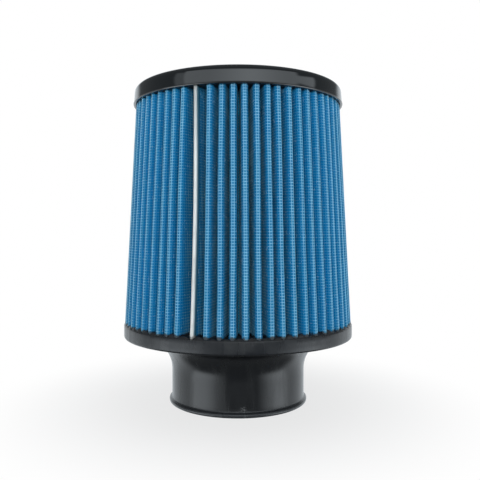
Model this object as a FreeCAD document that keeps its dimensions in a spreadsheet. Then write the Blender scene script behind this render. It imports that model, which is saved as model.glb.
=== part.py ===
import FreeCAD, Part
import math
import os

import Sketcher

# Cone air filter: a moulded base with a clamp-on neck, a pleated gauze pack whose ends meet in a
# crimped seam, and a pressed cap potted on top. Millimetres and degrees, +Z up, with the origin at
# the centre of the neck's end face and the seam towards -Y.

SIZES = {
    # Neck, which slips over the intake pipe and takes a band clamp
    "pipe_bore": 76.2,
    "neck_wall": 6.4,
    "neck_length": 43.7,
    "neck_lip_height": 3.0,
    "neck_lip_reach": 1.75,
    "neck_lip_round": 1.3,
    "flare_round": 22.0,
    # Disc of the base, which the pleats stand on
    "base_diameter": 152.4,
    "base_thickness": 8.7,
    "base_lower_round": 1.5,
    "base_upper_round": 0.7,
    "mouth_round": 7.0,
    # Pleated pack
    "pack_height": 144.5,
    "pleat_count": 62,
    "pleat_depth": 17.0,
    "sheet_thickness": 1.4,
    "crest_round": 1.75,
    "valley_round": 0.5,
    "crest_inset": 0.7,
    "crest_clearance": 0.35,
    "seam_gap": 14.0,
    # Joined ends of the pack, and the clip crimped over them
    "seam_round": 0.6,
    "clip_fit": 0.05,
    "clip_wall": 0.4,
    "clip_leg": 2.5,
    "clip_stand_out": 0.1,
    # Pressed cap, and the compound cast into it
    "cap_bore": 137.1,
    "cap_sheet": 0.8,
    "cap_height": 11.4,
    "cap_edge_round": 3.4,
    "cap_lip_height": 0.9,
    "cap_lip_taper": 5.0,
    "cap_lip_reach": 0.85,
    "cap_lip_round": 0.5,
    "cap_land": 12.0,
    "cap_step": 1.2,
    "cap_step_run": 2.0,
    "cap_step_round": 1.5,
}

SEAM_TURN = -90.0
ON_AXIS = None
# Millimetres within which two circles count as the same edge
SAME_EDGE = 1e-4

# Sketch references: the two axes, the origin point and the named points of an edge
H_AXIS = -1
V_AXIS = -2
ORIGIN = (-1, 1)
START, END, CENTRE = range(1, 4)


class Size:
    """A number that remembers the spreadsheet formula it comes from."""

    def __init__(self, number, formula):
        self.number = number
        self.formula = formula

    def joined(self, sign, other, number):
        return Size(number, f"({self.formula} {sign} {as_size(other).formula})")

    def __add__(self, other):
        return self.joined("+", other, self.number + as_size(other).number)

    def __sub__(self, other):
        return self.joined("-", other, self.number - as_size(other).number)

    def __mul__(self, other):
        return self.joined("*", other, self.number * as_size(other).number)

    def __truediv__(self, other):
        return self.joined("/", other, self.number / as_size(other).number)


def as_size(value):
    """A plain number as a Size."""
    return value if isinstance(value, Size) else Size(value, str(value))


def cosine(angle):
    return Size(math.cos(math.radians(angle.number)), f"cos({angle.formula} * 1 deg)")


def sine(angle):
    return Size(math.sin(math.radians(angle.number)), f"sin({angle.formula} * 1 deg)")


doc = FreeCAD.newDocument("cone_air_filter")
sheet = doc.addObject("Spreadsheet::Sheet", "sizes")
for row, (alias, number) in enumerate(SIZES.items(), start=1):
    sheet.set(f"A{row}", alias)
    sheet.set(f"B{row}", str(number))
    sheet.setAlias(f"B{row}", alias)
doc.recompute()
size = {alias: Size(number, f"sizes.{alias}") for alias, number in SIZES.items()}

# Radii, heights and angles that pieces share
floor = as_size(0)
full_turn = as_size(360)
bore_radius = size["pipe_bore"] / 2
neck_radius = bore_radius + size["neck_wall"]
base_radius = size["base_diameter"] / 2
base_foot = size["neck_length"]
base_top = base_foot + size["base_thickness"]
pack_top = base_top + size["pack_height"]
cap_inside_radius = size["cap_bore"] / 2
cap_radius = cap_inside_radius + size["cap_sheet"]
cap_foot = pack_top
cap_top = cap_foot + size["cap_height"]
cap_ceiling = cap_top - size["cap_sheet"]
step_radius = cap_radius - size["cap_land"]
panel_radius = step_radius - size["cap_step_run"]
panel_ceiling = cap_ceiling - size["cap_step"]
pleats_turn = full_turn - size["seam_gap"]
pleat_pitch = pleats_turn / (size["pleat_count"] - 1)
# The pack's two ends, as height and radius of the pleat crests
pack_ends = {
    "foot": (base_top, base_radius - size["crest_inset"]),
    "head": (pack_top, cap_inside_radius - size["crest_clearance"]),
}


def new_body(label):
    """An empty body under its own name."""
    body = doc.addObject("PartDesign::Body", label)
    body.Label = label
    return body


def origin_feature(body, role):
    """One of a body's own origin planes or axes."""
    return next(item for item in body.Origin.OriginFeatures if item.Role == role)


def new_sketch(body, name, plane):
    """A sketch on one of the body's origin planes."""
    sketch = body.newObject("Sketcher::SketchObject", name)
    sketch.AttachmentSupport = [(origin_feature(body, plane), "")]
    sketch.MapMode = "FlatFace"
    return sketch


def relate(sketch, kind, *where):
    """Adds a geometric constraint."""
    sketch.addConstraint(Sketcher.Constraint(kind, *where))


def hold(sketch, kind, *where):
    """Adds a dimension, whose last entry is a Size, and binds it to that Size's formula."""
    *place, value = where
    index = sketch.addConstraint(Sketcher.Constraint(kind, *place, value.number))
    sketch.setExpression(f"Constraints[{index}]", value.formula)


def hold_point(sketch, item, point, across, along):
    """Fixes a sketch point by its two coordinates, or to an axis where one is ON_AXIS."""
    for kind, axis, value in (("DistanceX", V_AXIS, across), ("DistanceY", H_AXIS, along)):
        if value is ON_AXIS:
            relate(sketch, "PointOnObject", item, point, axis)
        else:
            hold(sketch, kind, *ORIGIN, item, point, value)


def vector(across, along):
    return FreeCAD.Vector(across, along, 0)


def arc(centre, radius, start, end):
    """Arc from one direction to another, in radians, anticlockwise."""
    return Part.ArcOfCircle(Part.Circle(centre, FreeCAD.Vector(0, 0, 1), radius), start, end)


def toward(centre, direction, distance):
    """The point at a distance from a centre, in a direction in radians."""
    return centre + vector(math.cos(direction), math.sin(direction)) * distance


def revolve(body, name, corners):
    """Full turn about the filter's axis of an outline through corners, each a radius and a height."""
    sketch = new_sketch(body, f"{name}_outline", "XZ_Plane")
    points = [vector(*(0 if value is ON_AXIS else value.number for value in corner)) for corner in corners]
    items = sketch.addGeometry([Part.LineSegment(*ends) for ends in zip(points, points[1:] + points[:1])])
    for item, following in zip(items, items[1:] + items[:1]):
        relate(sketch, "Coincident", item, END, following, START)
    for item, corner in zip(items, corners):
        hold_point(sketch, item, START, *corner)
    turn = body.newObject("PartDesign::Revolution", name)
    turn.Profile = sketch
    turn.ReferenceAxis = (sketch, ["V_Axis"])
    turn.Angle = full_turn.number
    doc.recompute()
    return turn


def is_at(edge, radius, height):
    """Whether an edge is the circle of this radius at this height."""
    if not isinstance(edge.Curve, Part.Circle):
        return False
    return math.dist((edge.Curve.Radius, edge.Curve.Center.z), (radius.number, height.number)) < SAME_EDGE


def round_edges(body, name, feature, places, radius):
    """Fillet along a feature's circular edges at the given radii and heights."""
    edges = feature.Shape.Edges
    chosen = [f"Edge{n}" for n, edge in enumerate(edges, 1) if any(is_at(edge, *place) for place in places)]
    fillet = body.newObject("PartDesign::Fillet", name)
    fillet.Base = (feature, chosen)
    fillet.setExpression("Radius", radius.formula)
    doc.recompute()
    return fillet


def make_base_flange():
    """One moulding: the neck with its end lip, the flare, and the disc under the pleats."""
    body = new_body("base_flange")
    lip_radius = neck_radius + size["neck_lip_reach"]
    lip_top = size["neck_lip_height"]
    moulding = revolve(
        body,
        "moulding",
        [
            (bore_radius, ON_AXIS),
            (lip_radius, ON_AXIS),
            (lip_radius, lip_top),
            (neck_radius, lip_top),
            (neck_radius, base_foot),
            (base_radius, base_foot),
            (base_radius, base_top),
            (bore_radius, base_top),
        ],
    )
    flare = round_edges(body, "flare", moulding, [(neck_radius, base_foot)], size["flare_round"])
    lip_edges = [(lip_radius, floor), (lip_radius, lip_top)]
    lip = round_edges(body, "lip_edges", flare, lip_edges, size["neck_lip_round"])
    lower = round_edges(body, "lower_edge", lip, [(base_radius, base_foot)], size["base_lower_round"])
    upper = round_edges(body, "upper_edge", lower, [(base_radius, base_top)], size["base_upper_round"])
    round_edges(body, "mouth", upper, [(bore_radius, base_top)], size["mouth_round"])
    return body


class Fold:
    """Section of an outward fold of the sheet, symmetric about the sketch's horizontal axis.

    Its outer face is a crest arc, a flank tangent to that arc, and half of a valley arc tangent to the
    flank. The valley's centre lies on the line at half_angle from the fold's own middle."""

    def __init__(self, crest_radius, tip_radius, crest_round, half_angle):
        valley_distance = crest_radius - size["pleat_depth"] + size["valley_round"]
        self.half_angle = half_angle
        self.crest_round = crest_round
        self.crest_distance = tip_radius - crest_round
        self.valley_across = valley_distance * cosine(half_angle)
        self.valley_along = valley_distance * sine(half_angle)
        # Direction that the flank faces, in radians: the flank lies between both arcs and touches both.
        across = self.valley_across.number - self.crest_distance.number
        along = self.valley_along.number
        reach = crest_round.number + size["valley_round"].number
        self.normal = math.atan2(along, across) - math.acos(reach / math.hypot(across, along))

    def crest_centre(self):
        return vector(self.crest_distance.number, 0)

    def valley_centre(self, side):
        return vector(self.valley_across.number, side * self.valley_along.number)

    def hold_crest(self, sketch, item):
        relate(sketch, "PointOnObject", item, CENTRE, H_AXIS)
        hold(sketch, "DistanceX", *ORIGIN, item, CENTRE, self.crest_distance)

    def hold_valley(self, sketch, item, side):
        ends = [ORIGIN, (item, CENTRE)]
        hold(sketch, "DistanceX", *ends[0], *ends[1], self.valley_across)
        hold(sketch, "DistanceY", *ends[side < 0], *ends[side > 0], self.valley_along)


def pleat_fold(crest_radius):
    """One ordinary pleat."""
    return Fold(crest_radius, crest_radius, size["crest_round"], pleat_pitch / 2)


def seam_fold(crest_radius):
    """The fold in which the pack's two ends meet, under the clip."""
    tip_radius = crest_radius + size["clip_stand_out"] - size["clip_wall"] - size["clip_fit"]
    return Fold(crest_radius, tip_radius, size["seam_round"], (size["seam_gap"] - pleat_pitch) / 2)


def draw_fold(sketch, fold, joined):
    """Closed section of the sheet along a fold; in a joined fold the inner flanks meet in a corner."""
    thickness = size["sheet_thickness"]
    outer_round = size["valley_round"]
    inner_round = outer_round + thickness
    crest = fold.crest_centre()
    half = math.radians(fold.half_angle.number)
    outer_crest = sketch.addGeometry(arc(crest, fold.crest_round.number, -fold.normal, fold.normal))
    fold.hold_crest(sketch, outer_crest)
    hold(sketch, "Radius", outer_crest, fold.crest_round)
    if not joined:
        inside = fold.crest_round - thickness
        inner_crest = sketch.addGeometry(arc(crest, inside.number, -fold.normal, fold.normal))
        relate(sketch, "Coincident", inner_crest, CENTRE, outer_crest, CENTRE)
        hold(sketch, "Radius", inner_crest, inside)
    inner_flanks = []
    for side in (1, -1):
        normal = side * fold.normal
        valley = fold.valley_centre(side)
        sweep = sorted((math.pi + normal, math.pi + side * half))
        deep = math.pi + side * half
        flank_end, middle = (END, START) if side > 0 else (START, END)
        outer_foot = toward(valley, normal + math.pi, outer_round.number)
        inner_foot = toward(valley, normal + math.pi, inner_round.number)
        inner_top = toward(crest, normal, fold.crest_round.number - thickness.number)
        if joined:
            rise = inner_top.y / (inner_top.y - inner_foot.y)
            inner_top = inner_top + (inner_foot - inner_top) * rise
        outer_flank, outer_valley, cut, inner_valley, inner_flank = sketch.addGeometry(
            [
                Part.LineSegment(toward(crest, normal, fold.crest_round.number), outer_foot),
                arc(valley, outer_round.number, *sweep),
                Part.LineSegment(
                    toward(valley, deep, outer_round.number), toward(valley, deep, inner_round.number)
                ),
                arc(valley, inner_round.number, *sweep),
                Part.LineSegment(inner_foot, inner_top),
            ]
        )
        inner_flanks.append(inner_flank)
        relate(sketch, "Tangent", outer_crest, flank_end, outer_flank, START)
        relate(sketch, "Tangent", outer_flank, END, outer_valley, flank_end)
        relate(sketch, "Coincident", outer_valley, middle, cut, START)
        relate(sketch, "Coincident", cut, END, inner_valley, middle)
        relate(sketch, "Tangent", inner_valley, flank_end, inner_flank, START)
        fold.hold_valley(sketch, outer_valley, side)
        relate(sketch, "Coincident", inner_valley, CENTRE, outer_valley, CENTRE)
        relate(sketch, "PointOnObject", *ORIGIN, cut)
        relate(sketch, "PointOnObject", outer_valley, CENTRE, cut)
        hold(sketch, "Radius", outer_valley, outer_round)
        hold(sketch, "Radius", inner_valley, inner_round)
        if not joined:
            relate(sketch, "Tangent", inner_flank, END, inner_crest, flank_end)
        elif side > 0:
            relate(sketch, "Parallel", inner_flank, outer_flank)
            relate(sketch, "PointOnObject", inner_flank, END, H_AXIS)
    if joined:
        relate(sketch, "Coincident", inner_flanks[1], END, inner_flanks[0], END)


def draw_clip(sketch, fold):
    """Section of the clip: a rounded nose and two legs that lie on the seam fold's flanks."""
    crest = fold.crest_centre()
    inside = fold.crest_round + size["clip_fit"]
    outside = inside + size["clip_wall"]
    # The legs touch this circle, which stands back from the valley arc by the same fit.
    guide_round = size["valley_round"] - size["clip_fit"]
    leg = size["clip_leg"]
    noses = []
    for radius in (inside, outside):
        noses.append(sketch.addGeometry(arc(crest, radius.number, -fold.normal, fold.normal)))
        hold(sketch, "Radius", noses[-1], radius)
    inner_nose, outer_nose = noses
    fold.hold_crest(sketch, inner_nose)
    relate(sketch, "Coincident", outer_nose, CENTRE, inner_nose, CENTRE)
    for side in (1, -1):
        normal = side * fold.normal
        inward = vector(-math.sin(normal), math.cos(normal)) * side
        nose_end = END if side > 0 else START
        inner_start = toward(crest, normal, inside.number)
        outer_start = toward(crest, normal, outside.number)
        inner_end = inner_start + inward * leg.number
        outer_end = outer_start + inward * leg.number
        guide_circle = Part.Circle(
            fold.valley_centre(side), FreeCAD.Vector(0, 0, 1), guide_round.number
        )
        inner_leg, foot, outer_leg = sketch.addGeometry(
            [
                Part.LineSegment(inner_start, inner_end),
                Part.LineSegment(inner_end, outer_end),
                Part.LineSegment(outer_end, outer_start),
            ]
        )
        guide = sketch.addGeometry(guide_circle, True)
        fold.hold_valley(sketch, guide, side)
        hold(sketch, "Radius", guide, guide_round)
        relate(sketch, "Tangent", inner_nose, nose_end, inner_leg, START)
        relate(sketch, "Tangent", inner_leg, guide)
        relate(sketch, "Coincident", inner_leg, END, foot, START)
        relate(sketch, "Perpendicular", inner_leg, foot)
        relate(sketch, "Coincident", foot, END, outer_leg, START)
        relate(sketch, "Tangent", outer_leg, END, outer_nose, nose_end)
        relate(sketch, "Parallel", outer_leg, inner_leg)
        hold(sketch, "Distance", inner_leg, leg)


def loft_up(body, name, draw, turn=floor):
    """Straight loft of a section from the pack's foot to its head, turned about the axis."""
    sections = []
    for end, (height, crest_radius) in pack_ends.items():
        sketch = new_sketch(body, f"{name}_{end}", "XY_Plane")
        spin = FreeCAD.Rotation(FreeCAD.Vector(0, 0, 1), turn.number)
        sketch.AttachmentOffset = FreeCAD.Placement(FreeCAD.Vector(0, 0, height.number), spin)
        sketch.setExpression("AttachmentOffset.Base.z", height.formula)
        sketch.setExpression("AttachmentOffset.Rotation.Angle", turn.formula)
        draw(sketch, crest_radius)
        sections.append(sketch)
    doc.recompute()
    loft = body.newObject("PartDesign::AdditiveLoft", name)
    loft.Profile = sections[0]
    loft.Sections = sections[1:]
    loft.Ruled = True
    doc.recompute()
    return loft


def face_front(body):
    """Turns a body that was drawn with the seam along +X, so that the seam faces -Y."""
    body.Placement = FreeCAD.Placement(
        FreeCAD.Vector(), FreeCAD.Rotation(FreeCAD.Vector(0, 0, 1), SEAM_TURN)
    )


def make_pleated_media():
    """The folded pack: the joined ends, then one pleat carried round to the other side of the seam."""
    body = new_body("pleated_media")
    loft_up(body, "seam", lambda sketch, radius: draw_fold(sketch, seam_fold(radius), joined=True))
    first = size["seam_gap"] / 2
    pleat = loft_up(
        body, "pleat", lambda sketch, radius: draw_fold(sketch, pleat_fold(radius), joined=False), first
    )
    pleats = body.newObject("PartDesign::PolarPattern", "pleats")
    pleats.Originals = [pleat]
    pleats.Axis = (origin_feature(body, "Z_Axis"), [""])
    pleats.setExpression("Angle", pleats_turn.formula)
    pleats.setExpression("Occurrences", size["pleat_count"].formula)
    body.Tip = pleats
    face_front(body)
    doc.recompute()
    return body


def make_seam_clip():
    """The strip crimped over the joined ends of the pack."""
    body = new_body("seam_clip")
    loft_up(body, "strip", lambda sketch, radius: draw_clip(sketch, seam_fold(radius)))
    face_front(body)
    doc.recompute()
    return body


def make_top_cap():
    """Pressed shell: a rolled lip, the wall, a flat land and a panel stepped down inside it."""
    body = new_body("top_cap")
    lip_radius = cap_radius + size["cap_lip_reach"]
    lip_top = cap_foot + size["cap_lip_height"]
    panel_top = cap_top - size["cap_step"]
    shell = revolve(
        body,
        "shell",
        [
            (cap_inside_radius, cap_foot),
            (lip_radius, cap_foot),
            (lip_radius, lip_top),
            (cap_radius, lip_top + size["cap_lip_taper"]),
            (cap_radius, cap_top),
            (step_radius, cap_top),
            (panel_radius, panel_top),
            (ON_AXIS, panel_top),
            (ON_AXIS, panel_ceiling),
            (panel_radius, panel_ceiling),
            (step_radius, cap_ceiling),
            (cap_inside_radius, cap_ceiling),
        ],
    )
    inside_round = size["cap_edge_round"] - size["cap_sheet"]
    inside = round_edges(body, "inside_edge", shell, [(cap_inside_radius, cap_ceiling)], inside_round)
    edge = round_edges(body, "top_edge", inside, [(cap_radius, cap_top)], size["cap_edge_round"])
    lip_edges = [(lip_radius, cap_foot), (lip_radius, lip_top)]
    lip = round_edges(body, "lip_edges", edge, lip_edges, size["cap_lip_round"])
    step_edges = [(step_radius, cap_top), (panel_radius, panel_top)]
    round_edges(body, "step_edges", lip, step_edges, size["cap_step_round"])
    return body


def make_cap_potting():
    """Compound that fills the cap down to the tops of the pleats."""
    body = new_body("cap_potting")
    fill = revolve(
        body,
        "fill",
        [
            (ON_AXIS, pack_top),
            (cap_inside_radius, pack_top),
            (cap_inside_radius, cap_ceiling),
            (step_radius, cap_ceiling),
            (panel_radius, panel_ceiling),
            (ON_AXIS, panel_ceiling),
        ],
    )
    edge_round = size["cap_edge_round"] - size["cap_sheet"]
    round_edges(body, "fill_edge", fill, [(cap_inside_radius, cap_ceiling)], edge_round)
    return body


pieces = [
    make_base_flange(),
    make_pleated_media(),
    make_seam_clip(),
    make_top_cap(),
    make_cap_potting(),
]
doc.recompute()
failed = [item.Name for item in doc.Objects if {"Invalid", "Error"} & set(item.State)]
if failed:
    raise RuntimeError(f"these objects failed: {failed}")
for piece in pieces:
    if piece.Shape.isNull() or not piece.Shape.isValid():
        raise RuntimeError(f"{piece.Label} has no valid shape")

os.makedirs("parts", exist_ok=True)
for piece in pieces:
    piece.Shape.exportStep(f"parts/{piece.Label}.step")
    box = piece.Shape.optimalBoundingBox()
    print(
        f"{piece.Label}: {len(piece.Shape.Solids)} solid, {piece.Shape.Volume / 1000:.1f} cm3, "
        f"{box.XLength:.1f} x {box.YLength:.1f} x {box.ZLength:.1f} mm from z {box.ZMin:.1f}"
    )
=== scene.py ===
# %% [markdown]
# # A cone air filter, dressed in cells
#
# The filter is a tapered ring of blue pleats between a moulded black base and a gloss black cap. The
# imported model gives every piece its place and size. Here each piece gets the surface that the eye
# sees: folds that aren't quite regular, the wire screen over the gauze, the soft edges of castings.

# %% The frame, and a way to read each part's box
import math

import bmesh
import bpy
import numpy as np
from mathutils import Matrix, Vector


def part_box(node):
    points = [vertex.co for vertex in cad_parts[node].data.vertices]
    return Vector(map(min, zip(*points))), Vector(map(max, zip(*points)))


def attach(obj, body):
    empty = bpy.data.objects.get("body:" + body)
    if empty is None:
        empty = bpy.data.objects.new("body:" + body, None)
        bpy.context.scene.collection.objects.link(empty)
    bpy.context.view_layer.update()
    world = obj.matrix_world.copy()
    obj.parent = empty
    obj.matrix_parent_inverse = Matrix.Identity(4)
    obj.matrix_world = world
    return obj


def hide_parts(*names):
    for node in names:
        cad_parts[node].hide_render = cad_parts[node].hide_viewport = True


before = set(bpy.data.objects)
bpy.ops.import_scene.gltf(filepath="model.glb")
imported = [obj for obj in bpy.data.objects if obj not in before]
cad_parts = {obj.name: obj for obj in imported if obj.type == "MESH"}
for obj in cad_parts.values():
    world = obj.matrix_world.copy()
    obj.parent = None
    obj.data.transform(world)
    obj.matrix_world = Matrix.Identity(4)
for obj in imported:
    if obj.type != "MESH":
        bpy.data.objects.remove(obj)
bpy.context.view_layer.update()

# %% [markdown]
# ## Measures
#
# What the frame knows is read from it: heights and outer radii come from the boxes of the nodes. What
# a box can't tell, such as the number of pleats or the thickness of a wall, is a named value, given
# where it is first needed. All of it is in metres, so a millimetre is a name too.

# %% Heights and radii from the frame
MM = 0.001
HAIR = 0.01 * MM
_, base_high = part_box("base_flange")
pack_low, pack_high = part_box("pleated_media")
cap_low, cap_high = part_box("top_cap")
BASE_RADIUS = base_high[0]
BASE_TOP = base_high[2]
PACK_FOOT = pack_low[2]
PACK_HEAD = pack_high[2]
CAP_FOOT = cap_low[2]
CAP_TOP = cap_high[2]
CAP_LIP_RADIUS = cap_high[0]
print(f"pack from {PACK_FOOT:.4f} to {PACK_HEAD:.4f}, base radius {BASE_RADIUS:.4f}")

# %% [markdown]
# ## Meshes from grids
#
# Nearly every piece is a sheet or a skin, and a skin is a grid of points. Blender can be fed a grid
# point by point, but whole arrays are quicker and easier to read: the corners of all the faces are
# worked out at once from the grid's shape, and foreach_set hands them over.


# %% Faces of a grid
def grid_faces(rows, columns, round_rows=False, round_columns=False):
    """Corners of every face of a grid, four to a face: a point, the next in its row, and the two that
    stand one row further. A round direction joins its end to its start."""
    row = np.arange(rows if round_rows else rows - 1)[:, None]
    column = np.arange(columns if round_columns else columns - 1)[None, :]
    next_row = (row + 1) % rows
    next_column = (column + 1) % columns
    corners = [
        row * columns + column,
        row * columns + next_column,
        next_row * columns + next_column,
        next_row * columns + column,
    ]
    return np.stack(np.broadcast_arrays(*corners), axis=-1).reshape(-1, 4)


print("a grid of 3 by 4 points has", len(grid_faces(3, 4)), "faces")


# %% A mesh object from points and faces
def mesh_piece(name, points, faces, uv=None, values=None):
    """A smooth mesh object: points as (n, 3), faces as (m, 4), with a UV and named values per point."""
    mesh = bpy.data.meshes.new(name)
    mesh.vertices.add(len(points))
    mesh.vertices.foreach_set("co", np.ascontiguousarray(points, dtype=np.float32).ravel())
    mesh.loops.add(faces.size)
    mesh.loops.foreach_set("vertex_index", faces.astype(np.int32).ravel())
    mesh.polygons.add(len(faces))
    mesh.polygons.foreach_set("loop_start", np.arange(0, faces.size, 4, dtype=np.int32))
    mesh.polygons.foreach_set("use_smooth", np.ones(len(faces), dtype=bool))
    mesh.update(calc_edges=True)
    if uv is not None:
        layer = mesh.uv_layers.new(name="along_the_sheet")
        layer.data.foreach_set("uv", uv[faces.ravel()].astype(np.float32).ravel())
    for key, value in (values or {}).items():
        attribute = mesh.attributes.new(name=key, type="FLOAT", domain="POINT")
        attribute.data.foreach_set("value", value.astype(np.float32).ravel())
    mesh.validate()
    piece = bpy.data.objects.new(name, mesh)
    bpy.context.collection.objects.link(piece)
    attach(piece, "root")
    print(f"{name}: {len(points)} points, {len(faces)} faces")
    return piece


# %% [markdown]
# ## The path of the folds
#
# Seen from above, the pack is one long line that runs round a crest, down a flank, round a valley and
# up again. A zigzag with a bevel would do from far off, but its flanks would not stay one sheet's
# thickness apart. Here the line is built as a tinsmith would draw it: a circle at each crest, a circle
# at each valley, and the straight line that touches both from opposite sides. A line that lies a little
# outside or inside the first one, for a wire or for the back of the sheet, only changes the two radii.
# Positions in the plane are complex numbers, with the angle counted from the seam, which is a fold too.

# %% Where crests and valleys stand
PLEATS = 62
FOLDS = PLEATS + 1
SEAM_GAP = math.radians(14.0)
PITCH = (2 * math.pi - SEAM_GAP) / (PLEATS - 1)

first_valley = (SEAM_GAP - PITCH) / 2
crest_angle = np.concatenate([[0.0], SEAM_GAP / 2 + PITCH * np.arange(PLEATS)])
valley_angle = np.concatenate([[first_valley], SEAM_GAP / 2 + PITCH * (np.arange(PLEATS) + 0.5)])
valley_angle[-1] = 2 * math.pi - first_valley
print(f"{FOLDS} folds, pitch {math.degrees(PITCH):.3f} degrees")

# %% [markdown]
# A folded sheet is never exact. Each crest and valley strays a little from its place, some crests sink,
# and each wavers on its way up. The errors could be sculpted, but drawn from a random generator with a
# fixed seed they are the same at every run, and they can be named and changed. The seam's fold, which
# is the first, has none of them, because its strip holds it.

# %% The small errors of a folded sheet
CREST_STRAY = math.radians(0.28)
VALLEY_STRAY = math.radians(0.18)
CREST_SINK = 0.15 * MM
CREST_ROUND = 1.75 * MM
SEAM_ROUND = 0.6 * MM
SEAM_INSET = 0.35 * MM
WAVE_TURNS = (0.6, 1.6)
rng = np.random.default_rng(62)
ordinary = np.arange(FOLDS) > 0


def stray(spread):
    """Random angles for all the folds: a bell curve about zero, cut off at twice its spread."""
    return np.clip(rng.normal(0, spread, FOLDS), -2 * spread, 2 * spread)


crest_angle = crest_angle + ordinary * stray(CREST_STRAY)
valley_angle = valley_angle + stray(VALLEY_STRAY)
crest_inset = np.where(ordinary, CREST_SINK * rng.random(FOLDS), SEAM_INSET)
wave_phase = rng.random(FOLDS)
wave_turns = rng.uniform(*WAVE_TURNS, FOLDS)
crest_round = np.where(ordinary, CREST_ROUND, SEAM_ROUND)
crest_gaps = np.degrees(np.diff(crest_angle[1:]))
print(f"crests {crest_gaps.min():.2f} to {crest_gaps.max():.2f} degrees apart")

# %% [markdown]
# The pack tapers from the base's rim to the inside of the cap, and the seam bows a little to one side.
# Both depend on height alone, so each is a short function that takes a height or an array of heights.

# %% Taper and bow of the pack
CAP_INSIDE = 68.55 * MM
FOOT_CREST = BASE_RADIUS - 0.7 * MM
HEAD_CREST = CAP_INSIDE - 0.35 * MM
SEAM_BOW = math.radians(0.76)
SEAM_LEAN = math.radians(0.83)


def height_share(height):
    """Height above the pack's foot as a share of the pack: 0 at its foot, 1 at its head."""
    return (height - PACK_FOOT) / (PACK_HEAD - PACK_FOOT)


def crest_radius_at(height):
    """Radius of the crests: a straight taper from foot to head."""
    return FOOT_CREST + (HEAD_CREST - FOOT_CREST) * height_share(height)


def seam_bow(share):
    """How far the seam strays sideways: half a wave from foot to head, less an even lean."""
    return SEAM_BOW * np.sin(math.pi * share) - SEAM_LEAN * share


def depth_behind_crests(points, reach):
    """How far points lie inside the circle of the crests at their height, as a share of a reach."""
    inside = crest_radius_at(points[..., 2]) - np.hypot(points[..., 0], points[..., 1])
    return np.clip(inside / reach, 0, 1)


print(f"crests at radius {FOOT_CREST:.4f} at the foot, {HEAD_CREST:.4f} at the head")

# %% The path itself
PLEAT_DEPTH = 17.0 * MM
VALLEY_ROUND = 0.5 * MM
LEAST_ARM = 0.05 * MM
CREST_WAVE = math.radians(0.10)


def arc(centre, arm, start, end, steps):
    """Points about a centre: the arm turns from one direction to another the short way round."""
    turn = np.angle(np.exp(1j * (end - start)))
    return centre[..., None] + arm * np.exp(1j * (start[..., None] + turn[..., None] * steps))


def fold_path(heights, offset=0.0, crest_steps=8, flank_steps=2, valley_steps=3):
    """Line of the folds at each height, as complex positions (heights, folds, points of one fold).

    A fold runs from valley to valley. With C the crest's centre, V the valley's, and n the flank's
    normal, where the part of V - C along n is the sum of the two radii, the crest arc is
    C + (crest radius + offset) * direction and the valley arc is V - (valley radius - offset) *
    direction. Both turn from the flank's normal, so flank and arcs meet without a corner."""
    height = np.asarray(heights)[:, None]
    share = height_share(height)
    circle = crest_radius_at(height)
    wave = CREST_WAVE * ordinary * np.sin(2 * math.pi * (share * wave_turns + wave_phase))
    middle = crest_angle + wave + np.where(ordinary, 0.0, seam_bow(share))
    crest = (circle - crest_inset - crest_round) * np.exp(1j * middle)
    after = (circle - PLEAT_DEPTH + VALLEY_ROUND) * np.exp(1j * valley_angle)
    before = np.roll(after, 1, axis=1)
    reach = crest_round + VALLEY_ROUND
    normal_after = np.angle(after - crest) - np.arccos(reach / abs(after - crest))
    normal_before = np.angle(before - crest) + np.arccos(reach / abs(before - crest))

    crest_arm = np.maximum(crest_round + offset, LEAST_ARM)[:, None]
    valley_arm = VALLEY_ROUND - offset
    down = np.linspace(0, 1, valley_steps + 1)
    along = np.linspace(0, 1, flank_steps + 1)[1:-1]
    over = np.linspace(0, 1, crest_steps + 1)
    deep_before = np.broadcast_to(np.roll(valley_angle, 1), normal_before.shape)
    deep_after = np.broadcast_to(valley_angle, normal_after.shape)
    rise = arc(before, -valley_arm, deep_before, normal_before, down)
    top = arc(crest, crest_arm, normal_before, normal_after, over)
    fall = arc(after, -valley_arm, normal_after, deep_after, down)[..., :-1]
    up_flank = rise[..., -1:] + (top[..., :1] - rise[..., -1:]) * along
    down_flank = top[..., -1:] + (fall[..., :1] - top[..., -1:]) * along
    return np.concatenate([rise, up_flank, top, down_flank, fall], axis=-1)


def stand_up(path, heights):
    """Space points of a path: the seam's direction is -Y, and angles grow towards +X."""
    height = np.broadcast_to(np.asarray(heights)[:, None], path.shape)
    return np.stack([path.imag, -path.real, height], axis=-1)


def path_length(path):
    """Length along a line of complex positions, from its first point to each of them."""
    return np.cumsum(abs(np.diff(path, prepend=path[:1])))


foot_line = fold_path([PACK_FOOT]).ravel()
print(f"the folded line is {path_length(foot_line)[-1]:.3f} m long at the foot")
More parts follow.
